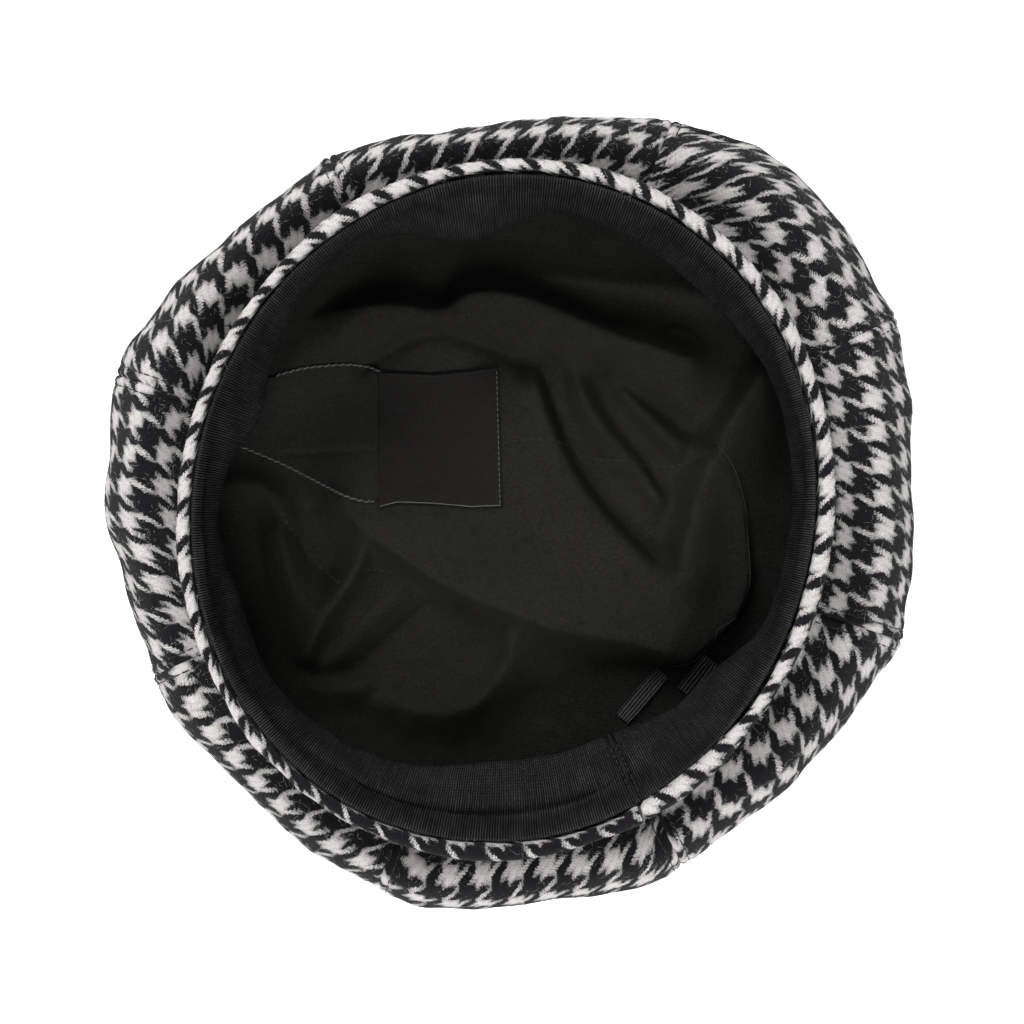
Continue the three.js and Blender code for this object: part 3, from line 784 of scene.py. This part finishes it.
def needles(paths, radius):
    """Closed bent needles along paths of three points, pointed at both ends and widest at the bend."""
    length = paths[:, 2] - paths[:, 0]
    across = unit(np.cross(length, ASKEW))
    bend = paths[:, 1:2] + spokes(across, unit(np.cross(across, length)), 3) * radius
    points = np.concatenate([paths[:, :1], bend, paths[:, 2:]], axis=1)
    index = np.arange(len(paths) * 5).reshape(-1, 5)
    ring = index[:, 1:4]
    following = np.roll(ring, -1, axis=1)
    root, tip = (np.broadcast_to(end, ring.shape) for end in (index[:, :1], index[:, 4:]))
    sides = [np.stack([root, following, ring], -1), np.stack([tip, ring, following], -1)]
    return outward(points.reshape(-1, 3), [side.reshape(-1, 3) for side in sides])


# ------ crown
def panel_span(index):
    """A panel's middle angle and half its turn, in radians."""
    first, following = PANELS[index]["seam"], PANELS[(index + 1) % len(PANELS)]["seam"]
    half = math.radians((following - first) % 360) / 2
    return math.radians(first) + half, half


def crown_surface(index, across, ways):
    """A panel's face as a grid of points, their normals, and pattern coordinates in repeats."""
    middle, half = panel_span(index)
    angle = middle + across[None, :] * half
    ways = ways[:, None]
    grid = crown_point(angle, ways)
    smooth = crown_point(angle, ways, dents=0)
    side = angle - middle
    flat = outline_radius(angle) - ROLL
    radius = np.hypot(smooth[..., 0], smooth[..., 1])
    length = run_along(smooth)
    beyond = length - length[np.argmax(ways[:, 0] >= 1)]
    u = radius * np.sin(side)
    v = np.where(ways <= 1, radius * np.cos(side), flat * np.cos(side) + beyond)
    u, v = rotated(u, v, PANELS[index]["turn"])
    pattern = np.stack([u / REPEAT["across"], v / REPEAT["along"]], -1) + PANELS[index]["shift"]
    outer = facing(normals_of(grid), -1, UP)
    from_seam = (1 - np.abs(across))[None, :] * half * radius
    raised = smooth_step(ways, 1.0, 1.6)
    lift = relief(from_seam, SEAM_RELIEF) + raised * waves(grid, CROWN_WAVES)
    lift = np.where(ways < 1.0, np.minimum(lift, 0), lift) + NAP_HEIGHT * raised
    grid = grid + outer * lift[..., None]
    grid[..., 2] = np.maximum(grid[..., 2], 0)
    return grid, outer, pattern


def crown_panel(index, material):
    """A panel, with its columns closer together towards its seams."""
    spread = np.linspace(-1, 1, PANEL_COLUMNS + 1)
    across = np.sign(spread) * (1 - (1 - np.abs(spread)) ** 1.5) * (1 - 1e-5)
    grid, outer, pattern = crown_surface(index, across, spaced(CROWN_ROWS))
    name = f"crown_panel_{index + 1}"
    make_piece(f"tweed_{name}", shell(grid, grid - outer * TWEED), material, [name], pattern)


def topstitching(material):
    """A row of stitches on each side of each seam, as far as the panel is wide enough for both."""
    rows = []
    ways = np.linspace(0.08, 2.93, 400)
    for index in range(len(PANELS)):
        middle, half = panel_span(index)
        for edge in (-1, 1):
            x, y, _ = np.moveaxis(crown_point(middle + edge * half, ways), -1, 0)
            share = edge * (1 - TOPSTITCH_OFFSET / (np.hypot(x, y) * half))
            keep = np.abs(share) > 0.3
            line, normals = seam_line(index, share[keep], ways[keep])
            line[:, 2] = np.maximum(line[:, 2], STITCH_FLOOR)
            rows.append(stitches(line, normals, "seam"))
    make_piece("crown_topstitching", joined(rows), material)


def seam_line(index, shares, ways):
    """Points and normals of a panel's face along one line: the diagonal of a small grid about it."""
    columns = 80
    grid, outer, _ = crown_surface(index, np.linspace(-1, 1, columns + 1), ways)
    column = (shares + 1) / 2 * columns
    low = np.clip(np.floor(column).astype(int), 0, columns - 1)
    mix = (column - low)[:, None]
    row = np.arange(len(ways))
    spots, normals = (part[row, low] * (1 - mix) + part[row, low + 1] * mix for part in (grid, outer))
    return spots, unit(normals)


# ------ wool nap
def tone_of(pattern):
    """The woven tone at pattern coordinates, as the tweed's material makes it: above 0 is dark."""
    u, v = TURN * pattern[..., 0], TURN * pattern[..., 1]
    warp_up = np.sin(2 * (u - v + TURN * TWILL_START)) > 0
    return np.where(warp_up, np.sin(u), np.sin(v)) + DARK_BIAS


def strewn(surface, count, source):
    """Random places on a surface, spread evenly over its area: points, normals and pattern tone."""
    grid, normals, pattern = surface
    corner = grid[:-1, :-1]
    cells = np.linalg.norm(np.cross(grid[1:, :-1] - corner, grid[:-1, 1:] - corner), axis=-1)
    pick = source.choice(cells.size, count, p=cells.ravel() / cells.sum())
    row, column = np.divmod(pick, cells.shape[1])
    down, along = source.random((2, count, 1))

    def between(values):
        top = values[row, column] * (1 - along) + values[row, column + 1] * along
        foot = values[row + 1, column] * (1 - along) + values[row + 1, column + 1] * along
        return top * (1 - down) + foot * down

    return between(grid), between(normals), tone_of(between(pattern))


def hairs(roots, normals, source):
    """The paths of hairs that lie over the cloth: a root in it, a bend and a tip."""
    count = len(roots)
    drift = source.normal(size=(count, 3))
    drift -= normals * np.einsum("ij,ij->i", drift, normals)[:, None]
    drift = unit(drift)
    turn = source.normal(size=(count, 3)) * 0.45
    length = source.uniform(*NAP_LENGTHS, size=(count, 1))
    rise = source.uniform(0.1, 1.0, size=(count, 1)) * NAP_STAND
    middle = roots + (drift + normals * rise) * length * 0.5
    tip = middle + (drift + turn + normals * (rise * 0.4)) * length * 0.5
    paths = np.stack([roots - normals * NAP_ROOT, middle, tip], axis=1)
    paths[..., 2] = np.maximum(paths[..., 2], NAP_FLOOR)
    return paths


def nap(light, dark):
    """Fine wool hairs over the visible tweed, in two pieces: the light ones and the dark ones."""
    source = np.random.default_rng(11)
    places = []
    for index in range(len(PANELS)):
        surface = crown_surface(index, np.linspace(-1, 1, 41), np.linspace(1.35, 2.97, 60))
        places.append(strewn(surface, NAP_PER_PANEL, source))
    places.append(strewn(band_surface(240, [(0, 1, 12), (1, 2, 12), (2, 2.2, 2)]), NAP_ON_BAND, source))
    roots, normals, tones = (np.concatenate(part) for part in zip(*places))
    paths = hairs(roots, normals, source)
    is_dark = tones + source.normal(size=len(tones)) * 0.25 > 0
    for name, chosen, material in (("light", ~is_dark, light), ("dark", is_dark, dark)):
        make_piece(f"wool_nap_{name}", needles(paths[chosen], NAP_RADIUS), material)


# ------ band
def band_section(angle, way):
    """The band's section: way 0 to 1 up the outside, to 2 over the fold, to 3 down the inside."""
    thick = fold_thickness(angle)
    bend = np.clip(way - 1, 0, 1) * math.pi
    crest = RIM_HEIGHT - thick * FOLD["height"]
    outside = BAND_FOOT + (crest - BAND_FOOT) * way
    height = np.where(way < 1, outside, crest + FOLD["height"] * thick * np.sin(bend))
    height = np.where(way > 2, crest - (crest - BAND_FOOT) * (way - 2), height)
    return around(rim_radius(angle) - thick / 2 * (1 - np.cos(bend)), angle, height)


def band_surface(columns, rows):
    """The band's outer face as a closed ring of points, their normals, and pattern coordinates."""
    angle = ring_angles(columns) + math.radians(BAND_JOIN)
    ways = spaced(rows)[:, None]
    grid = band_section(angle[None, :], ways)
    outer = facing(ring_normals(grid), 1, grid[1] * LEVEL)
    lift = waves(grid, BAND_WAVES) * smooth_step(ways, 0.05, 0.6) * smooth_step(2.6 - ways, 0, 0.6)
    from_join = np.minimum(angle - angle[0], TURN - (angle - angle[0])) * RIM_RADIUS
    grid = grid + outer * relief(from_join, BAND_JOIN_RELIEF, lift)[..., None]
    middle = rim_radius(angle) - fold_thickness(angle) / 2
    run = np.cumsum(middle) * TURN / columns
    length = run_along(grid)
    length = np.broadcast_to(length.mean(axis=1, keepdims=True), length.shape)
    crest = length[np.argmax(ways[:, 0] >= 1.5)]
    drift = np.interp((np.degrees(angle) - BAND_JOIN) % 360, BAND_DRIFT["turn"], BAND_DRIFT["rise"])
    rows_up = (length - crest + drift) / REPEAT["across"] + BAND_START
    return grid, outer, np.stack([np.broadcast_to(-run / BAND_REPEAT, length.shape), rows_up], -1)


def headband(material):
    """The band as a tube: its rows close on themselves, from the foot inside to the foot outside."""
    grid, _, pattern = band_surface(BAND_COLUMNS, BAND_ROWS)
    rows, wide = grid.shape[:2]
    index = np.pad(np.arange(rows * wide).reshape(rows, wide), ((0, 1), (0, 1)), mode="wrap")
    make_piece("tweed_headband", outward(grid.reshape(-1, 3), [grid_quads(index)]), material,
               ["headband"], pattern)


# ------ sweatband
def sweatband_line(angle, along):
    """Middle of the sweatband's thickness: radius and height at a share of its width below the rim."""
    lobes = np.zeros(np.broadcast(angle, along).shape)
    for lobe in SWEATBAND_LOBES:
        lobes = lobes + lobe["inset"] * bell(turn_between(angle, lobe["angle"]), lobe["turn"])
    lean = SWEATBAND_LEAN * np.minimum(1, 2 * along) + lobes * along ** 1.6
    fall = np.sqrt(np.maximum(0.3, 1 - (lobes / SWEATBAND_WIDTH) ** 2))
    top = rim_radius(angle) - fold_thickness(angle) - GAP - WEBBING / 2
    height = SWEATBAND_TOP - SWEATBAND_WIDTH * along * (1 - (1 - fall) * along)
    return top - lean, height


def sweatband(material, thread):
    """A ribbed webbing: padded near the rim, creased along its middle, closely woven at its free edge."""
    columns = RIBS * RIB_STEPS
    angle = ring_angles(columns)[None, :]
    along = np.linspace(0, 1, RIB_ROWS)[:, None]
    radius, height = sweatband_line(angle, along)
    turn = np.degrees(angle) % 360
    crease = smooth_step(turn - CREASE["from"], 0, 30) * smooth_step(CREASE["to"] - turn, 0, 25)
    crease = crease * bell(along - CREASE["at"] + CREASE["sway"] * np.sin(3 * angle), CREASE["width"])
    grid = around(radius, angle, height - CREASE["depth"] * crease)
    inner = facing(ring_normals(grid), 1, -grid[1] * LEVEL)
    rib = 0.5 + 0.5 * np.cos(TURN * np.arange(columns) / RIB_STEPS)[None, :]
    depth = 0.22 + 0.22 * bell(along - 0.12, 0.14)
    from_join = np.abs(turn[..., None] - SWEATBAND_JOIN).min(axis=-1) * math.radians(1) * RIM_RADIUS
    doubled = (turn > SWEATBAND_JOIN[0]) & (turn < SWEATBAND_JOIN[1])
    join = 0.5 * doubled - 2.0 * bell(from_join, 0.6)
    raised = relief(along, SWEATBAND_PADDING) + waves(grid, SWEATBAND_WAVES)
    lift = raised * smooth_step(along, 0, 0.1) + join
    face = grid + inner * (lift + 0.35 + rib * depth)[..., None]
    back = grid + inner * (lift - 0.35)[..., None]
    weave = np.stack(np.broadcast_arrays(np.arange(columns) / RIB_STEPS, along), -1)
    make_piece("ribbed_sweatband", shell(face, back, ring=True), material, ["sweatband"], weave)
    rows = []
    for column in np.round(SWEATBAND_JOIN / 360 * columns).astype(int):
        line = evenly(grid[1:-1, column] + inner[1:-1, column] * (lift[1:-1, column, None] + 0.7), 0.3)
        rows.append(stitches(line, np.full_like(line, inner[10, column]), "sweatband"))
    make_piece("sweatband_join_stitches", joined(rows), thread)


# ------ lining
def lining_height(x, y):
    """Height of the lining's upper face. Ridges merge, and grooves are cut into them."""
    ridges = np.zeros(x.shape)
    grooves = np.zeros(x.shape)
    for fold in LINING_FOLDS:
        distance, side = from_line(smooth_line(fold["path"]), x, y)
        width = fold["right"] + (fold["left"] - fold["right"]) * (1 + side) / 2
        rise = fold["rise"] * np.exp(-(distance / width) ** FOLD_SHARPNESS)
        if fold["rise"] > 0:
            ridges += rise ** 3
        else:
            grooves += rise
    radius = np.hypot(x, y)
    edge = outline_radius(np.arctan2(y, x)) - LINING_SPREAD
    fade = smooth_step(edge - radius, 0, LINING_FADE["width"])
    least = LINING_FADE["least"]
    folds = np.maximum(0, np.cbrt(ridges) + grooves) * (least + (1 - least) * fade)
    puff = LINING_PUFF * (1 - np.minimum(1, radius / edge) ** 3)
    return LINING_REST + folds + puff - seam_grooves(x, y)


def seam_grooves(x, y):
    """How far the lining is pulled down along its seams."""
    depth = np.zeros(x.shape)
    for stops in [seam["path"] for seam in LINING_SEAMS] + [HEM]:
        distance, _ = from_line(smooth_line(stops), x, y)
        depth = np.maximum(depth, SEAM_GROOVE["depth"] * bell(distance, SEAM_GROOVE["width"]))
    return depth


def floor_height(x, y):
    """The lining's upper face with its fine wrinkles."""
    return waves(np.stack([x, y, np.zeros_like(x)], -1), LINING_WAVES, lining_height(x, y))


def on_floor(line, lift):
    """Plan points of a line as points on the lining's upper face."""
    return np.column_stack([line, floor_height(line[:, 0], line[:, 1]) + lift])


def lining(material):
    """Crumpled floor, wall up the inside of the crown, and the edge tucked behind the sweatband."""
    angle = ring_angles(LINING_COLUMNS)[None, :]
    edge = outline_radius(angle) - LINING_SPREAD
    radius = 0.05 + (edge - 0.05) * np.linspace(0, 1, LINING_ROWS)[:, None]
    x, y = radius * np.cos(angle), radius * np.sin(angle)
    floor = np.stack([x, y, floor_height(x, y)], -1)
    wall = inside_crown(angle, np.linspace(1.25, 2.955, LINING_WALL_ROWS)[:, None], TWEED + 1.9)
    tuck = around(rim_radius(angle) - fold_thickness(angle) - GAP - 0.8, angle, np.array([LINING_TUCK]).T)
    grid = np.concatenate([floor, wall, tuck], axis=0)
    up = facing(ring_normals(grid), 20, UP)
    make_piece("cotton_lining", shell(grid, grid - up * LINING_THICKNESS, ring=True), material,
               ["lining"])


def inside_crown(angle, way, depth):
    """Points at a depth inside the crown's outer face."""
    step = 0.004
    here, before, after = (crown_point(angle, np.minimum(3, way + move)) for move in (0, -step, step))
    radius = [np.hypot(part[..., 0], part[..., 1]) for part in (here, before, after)]
    run, climb = radius[2] - radius[1], after[..., 2] - before[..., 2]
    share = depth / np.hypot(run, climb)
    return around(radius[0] - climb * share, angle, here[..., 2] + run * share)


def lining_seams(dark, pale):
    rows = []
    for seam in LINING_SEAMS:
        line = on_floor(evenly(smooth_line(seam["path"]), 0.4), seam["lift"])
        rows.append(stitches(line, np.zeros_like(line) + UP, "lining"))
    make_piece("lining_seam_stitches", joined(rows), dark)
    hem = on_floor(evenly(smooth_line(HEM), 0.5), 0.15)
    make_piece("lining_hem_thread", cord(hem, 0.10), pale)


# ------ label, stay and tapes
def laid(place, columns, rows, lift, thickness):
    """A patch laid over the lining. place gives plan positions for two shares."""
    across, along = np.meshgrid(np.linspace(0, 1, columns + 1), np.linspace(0, 1, rows + 1))
    x, y = place(across, along)
    height = floor_height(x, y) + lift
    return shell(np.stack([x, y, height + thickness], -1), np.stack([x, y, height], -1))


def turned(patch, taper=0.0):
    """A function that gives places on a turned rectangle, narrower at its ends by a taper."""
    def place(across, along):
        narrow = 1 - taper * np.abs(2 * across - 1) ** 3
        u, v = (across - 0.5) * patch["length"], (along - 0.5) * patch["width"] * narrow
        return rotated(u, v, patch["turn"], patch["middle"])

    return place


def stay_place(across, along):
    def spot(stops):
        line = evenly(smooth_line(stops), 0.5)
        return sampled(across * (len(line) - 1), np.arange(len(line)), line)

    upper, lower = spot(STAY_UPPER), spot(STAY_LOWER)
    return np.moveaxis(lower + (upper - lower) * along[..., None], -1, 0)


def label_place(across, along):
    x, y = turned(LABEL)(across, along)
    share, *edges = LABEL_WANDER.values()
    lower, upper = (np.interp(across, share, edge) for edge in edges)
    return x, y + lower + (upper - lower) * along


def label_edge(direction, fixed, lift):
    """Points on the label along one of its edges, a little inside it."""
    run = np.linspace(0.01, 0.99, round(LABEL["width"] / 0.4))
    still = np.full_like(run, fixed)
    place = label_place(run, still) if direction == "across" else label_place(still, run)
    return on_floor(np.column_stack(place), lift)


def label_and_stay(satin, cotton, pale, dark):
    """The stay strip, the label on it, the label's stitches and the stay's two-ply overlock threads."""
    make_piece("cotton_label_stay", laid(stay_place, 110, 60, 0.35, 0.4), cotton, ["label_stay"])
    make_piece("satin_label", laid(label_place, 70, 70, 0.95, 0.35), satin, ["label"])
    for name, direction, thread in (("side", "along", pale), ("top", "across", dark)):
        line = label_edge(direction, 0.985, 1.36)
        row = stitches(line, np.zeros_like(line) + UP, "label")
        make_piece(f"label_{name}_stitches", row, thread)
    make_piece("label_edge_thread", cord(label_edge("across", 0.004, 1.32), 0.10), pale)
    lines = [on_floor(evenly(smooth_line(stops), 0.5), 0.85) for stops in (OVERLOCK_UPPER, OVERLOCK_LOWER)]
    for name, start, thread in (("light", 0, pale), ("dark", math.pi, dark)):
        strands = joined([twisted(line, start, **OVERLOCK) for line in lines])
        make_piece(f"stay_overlock_{name}", strands, thread)


def tapes(ribbed):
    """Short ends of ribbed tape, with ribs along them."""
    rows = 8 * TAPE_RIBS
    across, along = np.meshgrid(np.linspace(0, 2, TAPE_COLUMNS + 1), np.linspace(0, 1, rows + 1))
    weave = np.stack([along * TAPE_RIBS, 0.2 * across], -1).reshape(-1, 2)
    for number, tape in enumerate(TAPES, 1):
        points, faces = laid(turned(tape, TAPE_TAPER), TAPE_COLUMNS, rows, 0.5, 0.5)
        points[:len(weave), 2] += 0.12 * np.cos(TURN * weave[:, 0])
        make_piece(f"ribbed_tape_{number}", (points, faces), ribbed, [f"stay_tape_{number}"], weave)


# ------ everything
make_stage()
TWEED_CLOTH = tweed_material()
DARK_THREAD = thread_material("dark_thread", (0.006, 0.006, 0.007), (0.02, 0.02, 0.022))
GREY_THREAD = thread_material("grey_thread", (0.05, 0.05, 0.048), (0.20, 0.20, 0.19))
HEM_THREAD = thread_material("hem_thread", (0.012, 0.012, 0.011), (0.045, 0.044, 0.040))
LIGHT_WOOL = thread_material("light_wool", (0.48, 0.46, 0.44), (0.72, 0.70, 0.68))
DARK_WOOL = thread_material("dark_wool", (0.008, 0.007, 0.009), (0.035, 0.032, 0.036))
RIBBED = webbing_material("webbing", (0.0018, 0.0018, 0.0019), (0.064, 0.065, 0.066), (0.13, 0.13, 0.13))
COTTON = plain_cloth("lining", (0.0007, 0.0007, 0.0007), (0.0345, 0.0335, 0.0305), 0.55, 0.34, 0.75)
SATIN = plain_cloth("label", (0.0060, 0.0057, 0.0053), (0.0185, 0.0176, 0.0166), 0.35, 0.12, 0.6)
TAPE = webbing_material("tape", (0.02, 0.02, 0.021), (0.12, 0.12, 0.123), (0.14, 0.14, 0.14))

for panel_index in range(len(PANELS)):
    crown_panel(panel_index, TWEED_CLOTH)
topstitching(DARK_THREAD)
headband(TWEED_CLOTH)
nap(LIGHT_WOOL, DARK_WOOL)
sweatband(RIBBED, DARK_THREAD)
lining(COTTON)
lining_seams(DARK_THREAD, HEM_THREAD)
label_and_stay(SATIN, COTTON, GREY_THREAD, DARK_THREAD)
tapes(TAPE)
